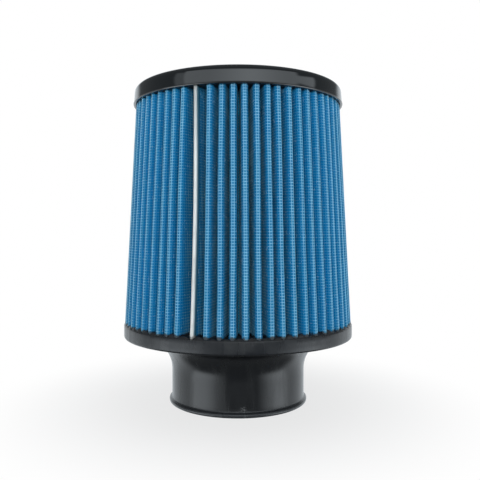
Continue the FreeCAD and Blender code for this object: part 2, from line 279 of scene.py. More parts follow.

# %% [markdown]
# ## The gauze
#
# The real pack is a few plies of oiled cotton gauze, about as thick as felt. A plane with a Solidify
# modifier would give it thickness, but it is simpler to make it one closed sheet at once: an outer
# skin, an inner skin one thickness in, and the two cut edges at foot and head, as a single grid that is
# round both ways. Each point keeps how deep in the fold it lies, because the finish paints the light and
# shade of the folds by it, and how far along the sheet it is, which the weave follows.

# %% The sheet
SHEET = 1.4 * MM
ROWS = 30
sheet_heights = np.linspace(PACK_FOOT, PACK_HEAD, ROWS)
outer_path = fold_path(sheet_heights).reshape(ROWS, -1)
inner_path = fold_path(sheet_heights, offset=-SHEET).reshape(ROWS, -1)
sheet_points = np.concatenate(
    [stand_up(outer_path, sheet_heights), stand_up(inner_path, sheet_heights)[::-1]]
)
along_sheet = path_length(outer_path[ROWS // 2])
sheet_uv = np.stack(np.broadcast_arrays(along_sheet[None, :], sheet_points[..., 2]), axis=-1)
gauze = mesh_piece(
    "gauze_pack",
    sheet_points.reshape(-1, 3),
    grid_faces(*sheet_points.shape[:2], round_rows=True, round_columns=True),
    uv=sheet_uv.reshape(-1, 2),
    values={"fold_depth": depth_behind_crests(sheet_points, PLEAT_DEPTH)},
)
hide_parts("pleated_media")

# %% [markdown]
# ## The wire screen
#
# A woven wire screen is folded in with the gauze and gives the crests their fine ribs. A bump map
# would be flat at the outline, so the wires are real: hoops that follow the fold path at even heights,
# and straight wires up the flanks and crests. A wire is a three-sided tube, which smooth shading makes
# round enough at a third of a millimetre.

# %% Tubes along many lines
WIRE_RADIUS = 0.15 * MM
WIRE_SIDES = 3
side_angle = 2 * math.pi * np.arange(WIRE_SIDES) / WIRE_SIDES


def wire_tubes(name, centres, out, beside, closed):
    """Tubes along many lines: centre + radius * (cos(a) * out + sin(a) * beside) for each side a.

    centres, out and beside are (wires, points, 3); closed joins each wire's end to its start."""
    cos = np.cos(side_angle)[:, None]
    sin = np.sin(side_angle)[:, None]
    skin = centres[:, :, None] + WIRE_RADIUS * (cos * out[:, :, None] + sin * beside[:, :, None])
    count, points = centres.shape[:2]
    one = grid_faces(points, WIRE_SIDES, round_rows=closed, round_columns=True)
    faces = (one[None] + (np.arange(count) * points * WIRE_SIDES)[:, None, None]).reshape(-1, 4)
    depth = depth_behind_crests(skin, PLEAT_DEPTH)
    wire = mesh_piece(name, skin.reshape(-1, 3), faces, values={"fold_depth": depth})
    return wire


def flat_tangent(path):
    """Unit direction along a round path of complex positions."""
    step = np.roll(path, -1, axis=1) - np.roll(path, 1, axis=1)
    return step / abs(step)


def flat_vector(direction):
    """A complex direction as a level vector, turned as stand_up turns positions."""
    return np.stack([direction.imag, -direction.real, np.zeros(direction.shape)], axis=-1)


print(f"wires of {2 * WIRE_RADIUS / MM:.2f} mm")

# %% [markdown]
# The hoops lie just outside the sheet, and their tubes' sides point out from the path and straight up.
# They are split at half height into two pieces, so that each stays light enough to handle.

# %% Hoops
WIRE_PITCH = 1.66 * MM
HOOP_STAND = 1.4 * WIRE_RADIUS
hoop_count = int((PACK_HEAD - PACK_FOOT) / WIRE_PITCH)
hoop_heights = PACK_FOOT + WIRE_PITCH * (np.arange(hoop_count) + 0.5)
hoop_path = fold_path(
    hoop_heights, offset=HOOP_STAND, crest_steps=5, flank_steps=1, valley_steps=1
).reshape(hoop_count, -1)
hoop_out = flat_vector(-1j * flat_tangent(hoop_path))
hoop_up = np.broadcast_to([0.0, 0.0, 1.0], hoop_out.shape)
hoop_centres = stand_up(hoop_path, hoop_heights)
wires = []
half = hoop_count // 2
for name, part in (("screen_hoops_lower", slice(0, half)), ("screen_hoops_upper", slice(half, None))):
    wires.append(wire_tubes(name, hoop_centres[part], hoop_out[part], hoop_up[part], closed=True))
print(f"{hoop_count} hoops")

# %% [markdown]
# The uprights are spaced evenly along the folded line, not round the axis, as a woven screen's are. A
# finely drawn path gives the places: each upright falls between two of its points, at every height.

# %% Uprights
UPRIGHT_STAND = 0.6 * WIRE_RADIUS
UPRIGHT_POINTS = 9
upright_heights = np.linspace(PACK_FOOT, PACK_HEAD, UPRIGHT_POINTS)
fine_path = fold_path(upright_heights, offset=UPRIGHT_STAND, flank_steps=4).reshape(UPRIGHT_POINTS, -1)
fine_length = path_length(fine_path[UPRIGHT_POINTS // 2])
upright_count = int(fine_length[-1] / WIRE_PITCH)
upright_length = (np.arange(upright_count) + 0.5) * fine_length[-1] / upright_count
place = np.interp(upright_length, fine_length, np.arange(len(fine_length)))
left = place.astype(int)
blend = place - left
right = (left + 1) % fine_path.shape[1]
upright_path = fine_path[:, left] * (1 - blend) + fine_path[:, right] * blend
upright_along = flat_tangent(fine_path)[:, left]
wires.append(
    wire_tubes(
        "screen_uprights",
        stand_up(upright_path, upright_heights).transpose(1, 0, 2),
        flat_vector(-1j * upright_along).transpose(1, 0, 2),
        flat_vector(upright_along).transpose(1, 0, 2),
        closed=False,
    )
)
print(f"{upright_count} uprights")

# %% [markdown]
# ## The seam strip
#
# The ends of the pack are brought together as one more fold, and a white strip is crimped over it. Its
# section is a round nose with two legs that lie on the fold's flanks. A curve with a bevel could carry
# that section up, but the section widens with the taper, so it is worked out at each height and made
# a thick sheet like the gauze, with the slight waver that crimping leaves.


# %% A closed skin between two sheets
def thick_sheet(outer, inner):
    """Closed skin between two grids of the same shape: outer face, inner face and rims are one grid
    that is round in its columns, and a row of faces closes each end."""
    loop = np.concatenate([outer, inner[:, ::-1]], axis=1)
    rows, columns = loop.shape[:2]
    walls = grid_faces(rows, columns, round_columns=True)
    step = np.arange(columns // 2)
    ends = []
    for row, turned in ((0, True), (rows - 1, False)):
        near = row * columns + step
        far = row * columns + columns - 1 - step
        end = np.stack([near[:-1], near[1:], far[1:], far[:-1]], axis=-1)
        ends.append(end[:, ::-1] if turned else end)
    return loop.reshape(-1, 3), np.concatenate([walls, *ends])


# %% The strip
STRIP_ROWS = 40
STRIP_FIT = 0.05 * MM
STRIP_WALL = 0.4 * MM
STRIP_LEG = 2.5 * MM
STRIP_WAVER = 0.03 * MM
WAVER_TURNS = 2.3
WAVER_START = 0.7
strip_heights = np.linspace(PACK_FOOT, PACK_HEAD, STRIP_ROWS)


def strip_path(arm):
    """Section of the strip at each height: leg, round nose, leg, with arm as the nose's radius. The
    nose turns from one flank's normal to the other's, and the legs run on at right angles to them."""
    height = strip_heights[:, None]
    circle = crest_radius_at(height)
    centre = circle - SEAM_INSET - SEAM_ROUND
    valley = (circle - PLEAT_DEPTH + VALLEY_ROUND) * np.exp(1j * first_valley)
    normal = np.angle(valley - centre) - np.arccos((SEAM_ROUND + VALLEY_ROUND) / abs(valley - centre))
    share = height_share(height)
    waver = STRIP_WAVER * np.sin(2 * math.pi * WAVER_TURNS * share + WAVER_START)
    nose = centre + arm * np.exp(1j * normal * np.linspace(-1, 1, 13))
    leg = STRIP_LEG * np.linspace(1, 0, 4)[:-1]
    right_leg = nose[:, -1:] + leg[::-1] * np.exp(1j * (normal + math.pi / 2))
    left_leg = nose[:, :1] + leg * np.exp(-1j * (normal + math.pi / 2))
    section = np.concatenate([left_leg, nose, right_leg], axis=1) + 1j * waver
    return section * np.exp(1j * seam_bow(share))


strip_outer = stand_up(strip_path(SEAM_ROUND + STRIP_FIT + STRIP_WALL), strip_heights)
strip_inner = stand_up(strip_path(SEAM_ROUND + STRIP_FIT), strip_heights)
strip_points, strip_faces = thick_sheet(strip_outer, strip_inner)
leg_depth = depth_behind_crests(strip_points, STRIP_LEG)
seam_strip = mesh_piece("seam_strip", strip_points, strip_faces, values={"leg_depth": leg_depth})
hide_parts("seam_clip")

# %% [markdown]
# ## Castings and pressings turned about the axis
#
# Base and cap are round. A Spin or a Screw modifier would turn an outline too, but the base's skin has
# to be lifted in lumps afterwards, so its points are kept as an array. An outline is a few corners with
# a rounding at each, and the arcs are worked out from them.


# %% Outlines with rounded corners, and the turned skin
def rounded_outline(corners, spacing):
    """Closed outline through (radius, height, rounding) corners; each rounding is an arc that touches
    both its edges, and straight stretches get points no further apart than spacing."""
    corner = np.array(corners, dtype=float)
    here = corner[:, 0] + 1j * corner[:, 1]
    back = np.roll(here, 1) - here
    ahead = np.roll(here, -1) - here
    back /= abs(back)
    ahead /= abs(ahead)
    half_turn = abs(np.angle(ahead / back)) / 2
    setback = corner[:, 2] / np.tan(half_turn)
    start = here + back * setback
    centre = here + (back + ahead) / abs(back + ahead) * corner[:, 2] / np.sin(half_turn)
    arm = start - centre
    sweep = np.angle((here + ahead * setback - centre) / np.where(corner[:, 2] > 0, arm, 1))
    points = []
    for index, rounding in enumerate(corner[:, 2]):
        steps = int(np.ceil(abs(sweep[index]) * rounding / spacing)) + 3 if rounding > 0 else 0
        turn = np.exp(1j * sweep[index] * np.linspace(0, 1, steps + 1))
        points.append(centre[index] + arm[index] * turn if rounding > 0 else here[index : index + 1])
        leave = points[-1][-1]
        following = (index + 1) % len(corner)
        arrive = start[following] if corner[following, 2] > 0 else here[following]
        count = int(abs(arrive - leave) / spacing)
        points.append(leave + (arrive - leave) * np.linspace(0, 1, count + 2)[1:-1])
    outline = np.concatenate(points)
    return outline.real, outline.imag


def turned_points(radius, height, columns):
    """Outline points carried round the axis: (outline, columns, 3), angles counted from the seam."""
    angle = np.linspace(0, 2 * math.pi, columns, endpoint=False)
    around = radius[:, None] * np.exp(1j * angle)
    level = np.broadcast_to(height[:, None], around.shape)
    return np.stack([around.imag, -around.real, level], axis=-1), angle


# %% [markdown]
# ### The base
#
# The base is one moulding: a neck with a lip at its end, a wide flare, and the disc that the pleats
# stand on. Its outline gets extra rows just inside the rim. There the compound has welled up between
# the crests and set in uneven lumps, which the next cell lifts.

# %% The base's outline
PIPE_BORE = 38.1 * MM
NECK_RADIUS = 44.5 * MM
NECK_LIP_RADIUS = 46.25 * MM
NECK_LIP_TOP = 3.0 * MM
BASE_FOOT = 43.7 * MM
RIM_ROWS = (0.9, 1.3, 1.8, 2.4, 3.1, 4.0, 5.2, 6.8)
BASE_COLUMNS = FOLDS * 12

base_radius, base_height = rounded_outline(
    [
        (PIPE_BORE, 0.0, 0.6 * MM),
        (NECK_LIP_RADIUS, 0.0, 1.3 * MM),
        (NECK_LIP_RADIUS, NECK_LIP_TOP - 0.5 * MM, 1.1 * MM),
        (NECK_RADIUS, NECK_LIP_TOP + 0.2 * MM, 0.9 * MM),
        (NECK_RADIUS, BASE_FOOT, 22.0 * MM),
        (BASE_RADIUS, BASE_FOOT, 1.5 * MM),
        (BASE_RADIUS, BASE_TOP, 0.7 * MM),
        *[(BASE_RADIUS - inset * MM, BASE_TOP, 0.0) for inset in RIM_ROWS],
        (PIPE_BORE, BASE_TOP, 7.0 * MM),
    ],
    spacing=2.6 * MM,
)
base_points, base_angle = turned_points(base_radius, base_height, BASE_COLUMNS)
print("base outline:", len(base_radius), "points")

# %% [markdown]
# A lump is highest in the middle of a valley and flat under the crests: half a cosine wave from crest
# to crest, broadened by a power below one. Each valley has its own size of lump. Towards the rim and
# towards the middle of the base the lumps run out. Noise in a Displace modifier would put them just
# anywhere, and these have to lie where the folds leave room.

# %% The base with the compound's lumps between the crests
LUMP = 2.6 * MM
LUMP_LEAST = 0.35
LUMP_BREADTH = 0.6
LUMP_INSET = np.array([0.6, 1.0, 2.0, 8.0, 16.0]) * MM
LUMP_SHARE = [0.0, 0.7, 1.0, 0.3, 0.0]

crest_order = np.concatenate([crest_angle, [2 * math.pi]])
fold_place = np.interp(base_angle, crest_order, np.arange(FOLDS + 1))
in_valley = (0.5 - 0.5 * np.cos(2 * math.pi * (fold_place % 1.0))) ** LUMP_BREADTH
lump_size = LUMP * rng.uniform(LUMP_LEAST, 1.0, FOLDS)
lump_here = in_valley * lump_size[fold_place.astype(int) % FOLDS]
rim_share = np.interp(BASE_RADIUS - base_radius, LUMP_INSET, LUMP_SHARE)
on_top = np.where(base_height > BASE_TOP - HAIR, rim_share, 0.0)
base_points[..., 2] += on_top[:, None] * lump_here[None, :]
base = mesh_piece(
    "moulded_base",
    base_points.reshape(-1, 3),
    grid_faces(*base_points.shape[:2], round_rows=True, round_columns=True)[:, ::-1],
)
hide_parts("base_flange")

# %% [markdown]
# ### The cap
#
# The cap is pressed from thin steel: a top with a shallow sunk panel, a round edge, a wall with a
# slight draft so that it leaves the die, and a small lip that leans out at its foot. A gloss surface
# shows every change of slope in its reflections, so the wall is one straight line and the lip is real.

# %% The cap
CAP_SHEET = 0.8 * MM
CAP_WALL = CAP_INSIDE + CAP_SHEET
WALL_DRAFT = 0.25 * MM
LIP_HEIGHT = 0.7 * MM
LIP_LEAN = 0.3 * MM
LIP_INSET = 0.35 * MM
LIP_ROLL = 0.3 * MM
EDGE_ROUND = 3.4 * MM
STEP_RADIUS = CAP_WALL - 12.0 * MM
PANEL_RADIUS = STEP_RADIUS - 2.0 * MM
PANEL_TOP = CAP_TOP - 1.2 * MM
HUB = 0.4 * MM
CAP_COLUMNS = 288

cap_radius, cap_height = rounded_outline(
    [
        (CAP_INSIDE, CAP_FOOT, 0.15 * MM),
        (CAP_LIP_RADIUS - LIP_LEAN, CAP_FOOT, 0.25 * MM),
        (CAP_LIP_RADIUS, CAP_FOOT + LIP_HEIGHT, 0.2 * MM),
        (CAP_LIP_RADIUS - LIP_INSET, CAP_FOOT + LIP_HEIGHT + LIP_ROLL, 0.3 * MM),
        (CAP_WALL - WALL_DRAFT, CAP_TOP, EDGE_ROUND),
        (STEP_RADIUS, CAP_TOP, 1.5 * MM),
        (PANEL_RADIUS, PANEL_TOP, 1.5 * MM),
        (HUB, PANEL_TOP, 0.0),
        (HUB, PANEL_TOP - CAP_SHEET, 0.0),
        (PANEL_RADIUS, PANEL_TOP - CAP_SHEET, 0.0),
        (STEP_RADIUS, CAP_TOP - CAP_SHEET, 0.0),
        (CAP_INSIDE, CAP_TOP - CAP_SHEET, 2.6 * MM),
    ],
    spacing=3.0 * MM,
)
on_axis = cap_radius <= HUB + HAIR
cap_points, _ = turned_points(np.where(on_axis, 0.0, cap_radius), cap_height, CAP_COLUMNS)
cap = mesh_piece(
    "pressed_cap",
    cap_points.reshape(-1, 3),
    grid_faces(*cap_points.shape[:2], round_rows=True, round_columns=True)[:, ::-1],
)
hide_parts("top_cap")

# %% [markdown]
# The cap's grid closes in a point at its centre, where a whole row of points falls on one place. They
# are merged there, so the skin has one point at each pole and no faces without area.

# %% Merge the poles of the cap
work = bmesh.new()
work.from_mesh(cap.data)
bmesh.ops.remove_doubles(work, verts=work.verts, dist=HAIR)
bmesh.ops.dissolve_degenerate(work, edges=work.edges, dist=HAIR / 10)
work.to_mesh(cap.data)
work.free()
print("cap after merging:", len(cap.data.vertices), "points")

# %% [markdown]
# ## Finishes
#
# Each finish is a small node tree. Colours that vary do so by the depth of the fold, by height above the
# base or by noise on Object coordinates, so they stay put when the camera moves. Constants sit on the
# shader's own sockets. Wiring nodes by hand takes four lines each, so a small class has short ways to
# add the few kinds that these finishes need.


# %% Helpers for node trees
class Finish:
    """A material with one Principled shader, and short ways to add the nodes that feed it."""

    def __init__(self, name):
        self.material = bpy.data.materials.new(name)
        self.material.use_nodes = True
        self.tree = self.material.node_tree
        self.shader = next(node for node in self.tree.nodes if node.type == "BSDF_PRINCIPLED")

    def node(self, kind, inputs=None, **settings):
        """A new node with its settings, each input fed by a value or by another node's socket."""
        made = self.tree.nodes.new(kind)
        for key, value in settings.items():
            setattr(made, key, value)
        for key, value in (inputs or {}).items():
            self.feed(made.inputs[key], value)
        return made

    def feed(self, socket, value):
        """Links a socket to an input, or sets the input to a constant."""
        if isinstance(value, bpy.types.NodeSocket):
            self.tree.links.new(value, socket)
        else:
            socket.default_value = value

    def object_point(self):
        return self.node("ShaderNodeTexCoord").outputs["Object"]

    def height(self):
        return self.node("ShaderNodeSeparateXYZ", {"Vector": self.object_point()}).outputs["Z"]

    def noise(self, scale, detail=3.0, rough=0.55, squeeze=1.0):
        """Noise on Object coordinates; a squeeze under 1 draws it out into upright streaks."""
        inputs = {0: self.object_point(), 1: (1.0, 1.0, squeeze)}
        place = self.node("ShaderNodeVectorMath", inputs, operation="MULTIPLY").outputs["Vector"]
        inputs = {"Vector": place, "Scale": scale, "Detail": detail, "Roughness": rough}
        return self.node("ShaderNodeTexNoise", inputs).outputs["Fac"]

    def value(self, name):
        """A value that the mesh keeps at each point."""
        return self.node("ShaderNodeAttribute", attribute_name=name).outputs["Fac"]

    def span(self, value, low, high, to_low=0.0, to_high=1.0):
        """Carries the span from low to high over to another one, with soft ends and no overshoot."""
        inputs = {"Value": value, "From Min": low, "From Max": high, "To Min": to_low, "To Max": to_high}
        return self.node("ShaderNodeMapRange", inputs, interpolation_type="SMOOTHSTEP").outputs["Result"]

    def combine(self, operation, first, second=0.0):
        return self.node("ShaderNodeMath", {0: first, 1: second}, operation=operation).outputs["Value"]

    def mix(self, share, first, second):
        """A colour that goes from the first to the second as share goes from 0 to 1."""
        made = self.node("ShaderNodeMix", data_type="RGBA")
        self.feed(made.inputs["Factor"], share)
        self.feed(made.inputs["A"], first)
        self.feed(made.inputs["B"], second)
        return made.outputs["Result"]

    def ramp(self, value, stops):
        """A colour for each value, by straight steps between (position, colour) stops."""
        made = self.node("ShaderNodeValToRGB", {"Fac": value})
        elements = made.color_ramp.elements
        while len(elements) < len(stops):
            elements.new(0.5)
        for element, (position, stop_colour) in zip(elements, stops):
            element.position = position
            element.color = stop_colour
        return made.outputs["Color"]

    def bump(self, value, distance, strength=1.0):
        inputs = {"Height": value, "Distance": distance, "Strength": strength}
        self.feed(self.shader.inputs["Normal"], self.node("ShaderNodeBump", inputs).outputs["Normal"])

    def set(self, **sockets):
        """Feeds the shader's inputs by their names, with an underscore for each space."""
        for key, value in sockets.items():
            self.feed(self.shader.inputs[key.replace("_", " ")], value)

    def dress(self, *pieces):
        """Makes this the only material of each piece."""
        for piece in pieces:
            piece.data.materials.clear()
            piece.data.materials.append(self.material)
        print(self.material.name, "on", [piece.name for piece in pieces])


def colour(red, green, blue):
    return (red, green, blue, 1.0)


# %% [markdown]
# ### Compound at the foot of the pleats
#
# Near the base, gauze and wires are soaked with the casting compound in a ragged line. Its colour is
# grey on the crests and black in the valleys, where the black is partly painted shade. A painted mask
# would do it too, but height and a little noise say the same in two nodes, and gauze, wires and strip
# can share them.

# %% The stain
STAIN_TOP = 2.2 * MM
STAIN_RAGGED = (-0.3 * STAIN_TOP, 0.35 * STAIN_TOP)
# The compound's colour on the crests, and its black in the valleys, which is partly painted shade.
COMPOUND_ON_CRESTS = colour(0.075, 0.085, 0.095)
COMPOUND_BLACK_WITH_SHADE = colour(0.012, 0.012, 0.013)


def stain(finish):
    """Share of casting compound: full at the foot, gone a little above it, in a ragged line."""
    ragged = finish.span(finish.noise(420.0, 2.0), 0.3, 0.7, *STAIN_RAGGED)
    above = finish.combine("SUBTRACT", finish.height(), PACK_FOOT)
    return finish.span(finish.combine("ADD", above, ragged), 0.45 * STAIN_TOP, STAIN_TOP, 1.0, 0.0)


def stained_and_fold_shaded(finish, clean):
    """A colour with the stain over it: grey on the crests, black in the valleys, partly painted shade."""
    in_fold = finish.span(finish.value("fold_depth"), 0.0, 0.10)
    return finish.mix(stain(finish), clean, finish.mix(in_fold, COMPOUND_ON_CRESTS, COMPOUND_BLACK_WITH_SHADE))


print(f"stain up to {STAIN_TOP / MM} mm above the base")

# %% [markdown]
# ### Gauze
#
# Oiled gauze is a deep blue. Its colour is a ramp over the depth of the fold that paints the folds'
# light and shade: a painted highlight on the crests, painted shade down the flanks, and painted light
# deep in the valleys, where little real light reaches. The weave is two crossed waves along the sheet's
# own UV, which runs on round every fold, where Object coordinates would smear it on the flanks.

# %% Gauze finish
THREAD = 0.55 * MM
WAVE_PER_THREAD = 0.314
gauze_finish = Finish("oiled_gauze")
# Painted light and shade: pale crests are a painted highlight, darker flanks painted shade, paler deep
# valleys painted light.
fold_light_and_shade = gauze_finish.ramp(
    gauze_finish.value("fold_depth"),
    [
        (0.0, colour(0.07, 0.295, 0.49)),
        (0.012, colour(0.04, 0.245, 0.44)),
        (0.04, colour(0.003, 0.175, 0.38)),
        (0.12, colour(0.002, 0.175, 0.41)),
        (0.25, colour(0.003, 0.12, 0.27)),
        (0.85, colour(0.005, 0.13, 0.26)),
        (1.0, colour(0.010, 0.30, 0.52)),
    ],
)
patchy = gauze_finish.span(gauze_finish.noise(55.0), 0.3, 0.7, 0.0, 0.30)
gauze_tone_light_and_shade = gauze_finish.mix(patchy, fold_light_and_shade, colour(0.004, 0.15, 0.40))
gauze_finish.set(Base_Color=stained_and_fold_shaded(gauze_finish, gauze_tone_light_and_shade))
gauze_finish.set(Roughness=0.65, Specular_IOR_Level=0.15)
sheet_place = gauze_finish.node("ShaderNodeUVMap", uv_map="along_the_sheet").outputs["UV"]
wave_inputs = {"Vector": sheet_place, "Scale": WAVE_PER_THREAD / THREAD, "Distortion": 0.6, "Detail": 1.0}
weave = [
    gauze_finish.node("ShaderNodeTexWave", wave_inputs, bands_direction=direction).outputs["Fac"]
    for direction in ("X", "Y")
]
gauze_finish.bump(gauze_finish.combine("ADD", *weave), 0.06 * MM, 0.6)
gauze_finish.dress(gauze)

# %% [markdown]
# ### Wires
#
# The wires are coated in the same blue. A second ramp over the depth of the fold paints their light
# and shade: a painted highlight, palest on the crests, painted shade on the flanks, and paler painted
# light deep in the folds. A fine noise adds painted glints, and a broad one dulls the coat in places
# deep in the folds.

# %% Wire finish
wire_finish = Finish("coated_wire")
wire_depth = wire_finish.value("fold_depth")
# Painted light and shade of the wires: a painted highlight on the crests, painted shade on the flanks,
# painted light deep in the folds.
wire_light_and_shade = wire_finish.ramp(
    wire_depth,
    [
        (0.0, colour(0.40, 0.71, 0.86)),
        (0.014, colour(0.22, 0.54, 0.73)),
        (0.045, colour(0.02, 0.22, 0.42)),
        (0.15, colour(0.012, 0.20, 0.41)),
        (0.30, colour(0.02, 0.15, 0.27)),
        (0.85, colour(0.06, 0.19, 0.27)),
        (1.0, colour(0.20, 0.44, 0.56)),
    ],
)
# Painted glints: small bright specks of painted highlight where the wires would catch the light.
painted_glint = wire_finish.span(wire_finish.noise(700.0, 1.0), 0.60, 0.70, 0.0, 0.4)
wire_with_painted_glints = wire_finish.mix(painted_glint, wire_light_and_shade, colour(0.50, 0.68, 0.78))
dull_patch = wire_finish.span(wire_finish.noise(32.0, 2.0), 0.46, 0.58, 0.0, 0.7)
dull = wire_finish.combine("MULTIPLY", dull_patch, wire_finish.span(wire_depth, 0.2, 0.4))
wire_painted_light_and_dull = wire_finish.mix(dull, wire_with_painted_glints, colour(0.09, 0.22, 0.28))
wire_finish.set(Base_Color=stained_and_fold_shaded(wire_finish, wire_painted_light_and_dull))
wire_finish.set(Roughness=0.40, Specular_IOR_Level=0.3)
wire_finish.dress(*wires)

# %% [markdown]
# ### Strip
#
# The strip is matt white. Its legs get painted shade, dark teal like the shaded valley beside them,
# reaching further up them under the cap, where the strip also gets a little painted grey for the cap's
# shade. The depth of the leg, kept at each point, tells how far the painted shade reaches.

# %% Strip finish
SHADE_FOOT = 150.0 * MM
LEG_SHADE_CREEP = 0.14
strip_finish = Finish("matt_strip")
strip_tone = strip_finish.span(strip_finish.noise(60.0), 0.35, 0.7)
strip_pale = strip_finish.mix(strip_tone, colour(0.80, 0.80, 0.77), colour(0.64, 0.64, 0.61))
# Painted shade under the cap: the strip turns a little grey towards the cap's lip.
near_cap = strip_finish.span(strip_finish.height(), SHADE_FOOT, CAP_FOOT)
strip_white_with_cap_shade = strip_finish.mix(near_cap, strip_pale, colour(0.50, 0.51, 0.50))
# Painted shade on the legs: dark teal that reaches further up them near the cap.
leg_shade_reach = strip_finish.span(near_cap, 0.0, 1.0, 0.0, LEG_SHADE_CREEP)
leg_shade_depth = strip_finish.combine("ADD", strip_finish.value("leg_depth"), leg_shade_reach)
leg_shade = strip_finish.span(leg_shade_depth, 0.22, 0.75)
strip_shaded = strip_finish.mix(leg_shade, strip_white_with_cap_shade, colour(0.05, 0.17, 0.24))
strip_stain = stain(strip_finish)
strip_finish.set(Base_Color=strip_finish.mix(strip_stain, strip_shaded, colour(0.30, 0.29, 0.27)))
strip_finish.set(Roughness=0.5)
strip_finish.dress(seam_strip)

# %% [markdown]
# ### Moulded compound
#
# The base is one casting, but its rim was released from an open mould and is a dull dark grey, while
# the neck was cast against polished metal and is a satin black with upright streaks. Two materials
# would leave a hard line between them, so height tells the two apart in one. The small rough spot on
# the neck is a mark left by the mould, and the lip at its end is painted a lighter grey, a painted
# highlight that stands in for the light that the shaded groove above it misses.

# %% Colours of the rim and the neck
MARK_TURN = math.radians(24.6)
MARK_HEIGHT = 5.0 * MM
LIP_LIGHT_REACH = 1.4 * MM
MOULD_MARK = (NECK_RADIUS * math.sin(MARK_TURN), -NECK_RADIUS * math.cos(MARK_TURN), MARK_HEIGHT)
base_finish = Finish("moulded_compound")
above_floor = base_finish.height()
mottle = base_finish.noise(130.0, 5.0, 0.65)
rim_tone = base_finish.span(mottle, 0.35, 0.68)
rim_grey = base_finish.mix(rim_tone, colour(0.003, 0.0045, 0.007), colour(0.013, 0.014, 0.016))
under_pleats = base_finish.span(above_floor, BASE_TOP - 0.9 * MM, BASE_TOP - 0.1 * MM)
rim_colour = base_finish.mix(under_pleats, rim_grey, colour(0.016, 0.016, 0.017))
streaks = base_finish.span(base_finish.noise(170.0, 4.0, squeeze=0.12), 0.35, 0.7)
mark_inputs = {0: base_finish.object_point(), 1: MOULD_MARK}
from_mark = base_finish.node("ShaderNodeVectorMath", mark_inputs, operation="DISTANCE").outputs["Value"]
near_mark = base_finish.span(from_mark, 0.8 * MM, 2.6 * MM, 1.0, 0.0)
mark_grain = base_finish.span(base_finish.noise(900.0), 0.45, 0.62)
marked = base_finish.combine("MULTIPLY", near_mark, mark_grain)
neck_black = base_finish.mix(streaks, colour(0.003, 0.0035, 0.0045), colour(0.006, 0.0065, 0.007))
neck_marked = base_finish.mix(marked, neck_black, colour(0.09, 0.09, 0.09))
# Painted highlight: the lip and the groove above it are painted a lighter grey.
on_lip = base_finish.span(above_floor, NECK_LIP_TOP, NECK_LIP_TOP + LIP_LIGHT_REACH, 1.0, 0.0)
neck_colour = base_finish.mix(on_lip, neck_marked, colour(0.026, 0.0275, 0.030))
print("mould mark at", [round(value / MM, 1) for value in MOULD_MARK], "mm")

# %% Base finish
NECK_ROUGH = (0.20, 0.30)
RIM_ROUGHER = 0.06
on_rim = base_finish.span(above_floor, BASE_FOOT + 0.4 * MM, BASE_FOOT + 1.6 * MM)
base_finish.set(Base_Color=base_finish.mix(on_rim, neck_colour, rim_colour))
neck_rough = base_finish.span(streaks, 0.0, 1.0, *NECK_ROUGH)
rim_rough = base_finish.span(on_rim, 0.0, 1.0, 0.0, RIM_ROUGHER)
base_finish.set(Roughness=base_finish.combine("ADD", neck_rough, rim_rough))
base_finish.bump(mottle, 0.12 * MM, base_finish.span(on_rim, 0.0, 1.0, 0.05, 0.6))
base_finish.dress(base)

# %% [markdown]
# ### Cap and potting
#
# The cap is painted and baked: a deep gloss with a trace of orange peel, which a faint bump gives. The
# potting inside it is cast compound, dull and a little mottled. Its shape comes from the frame as it
# is, because only its underside is ever seen, through the neck.

# %% Cap and potting finishes
cap_finish = Finish("gloss_paint")
cap_finish.set(Base_Color=colour(0.003, 0.0045, 0.0055), Roughness=0.07, IOR=1.65)
cap_finish.bump(cap_finish.noise(160.0, 2.0), 0.02 * MM, 0.10)
cap_finish.dress(cap)

potting_finish = Finish("cast_potting")
potting_tone = potting_finish.span(potting_finish.noise(90.0, 4.0), 0.3, 0.7)
potting_black = potting_finish.mix(potting_tone, colour(0.016, 0.016, 0.017), colour(0.026, 0.026, 0.027))
potting_finish.set(Base_Color=potting_black, Roughness=0.5)
potting_finish.bump(potting_finish.noise(240.0, 4.0), 0.1 * MM, 0.5)
potting_finish.dress(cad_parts["cap_potting"])

# %% [markdown]
# ## Studio
#
# The camera stands level with the middle of the pack, a little to the right of the seam. Tilting it
# would make the filter's sides lean together, so it looks straight ahead, and a shift of the lens
# brings the filter to the middle of the picture, as with a view camera.

# %% Camera
CAMERA_TURN = math.radians(20.5)
CAMERA_DISTANCE = 400.5 * MM
CAMERA_HEIGHT = 111.3 * MM
FRAME_PIXELS = 480
FOCAL_PIXELS = 587.2
AXIS_PIXEL = 238.0
HORIZON_PIXEL = 234.7

camera_data = bpy.data.cameras.new("camera")
camera_data.sensor_width = 36.0
camera_data.lens = FOCAL_PIXELS / FRAME_PIXELS * camera_data.sensor_width
camera_data.shift_x = (FRAME_PIXELS / 2 - AXIS_PIXEL) / FRAME_PIXELS
camera_data.shift_y = (HORIZON_PIXEL - FRAME_PIXELS / 2) / FRAME_PIXELS
camera_data.clip_start = 0.01
camera = bpy.data.objects.new("camera", camera_data)
camera.location = (
    CAMERA_DISTANCE * math.sin(CAMERA_TURN),
    -CAMERA_DISTANCE * math.cos(CAMERA_TURN),
    CAMERA_HEIGHT,
)
camera.rotation_euler = (math.pi / 2, 0.0, CAMERA_TURN)
bpy.context.collection.objects.link(camera)
bpy.context.scene.camera = camera
print(f"lens {camera_data.lens:.2f} mm, shift {camera_data.shift_x:.4f} {camera_data.shift_y:.4f}")

# %% [markdown]
# ### Light
#
# Light comes from the world alone: a dim room with a few large soft panels and a white sweep behind,
# drawn by direction. Gloss paint needs something to reflect, and panels drawn in the world have clean
# edges and no lamps to hide. Directions are two angles: sideways from the camera's side of the filter,
# and up from level. Diffuse light and reflections are told apart by the kind of ray, so a panel can
# light the pleats without showing as a white patch in the paint.


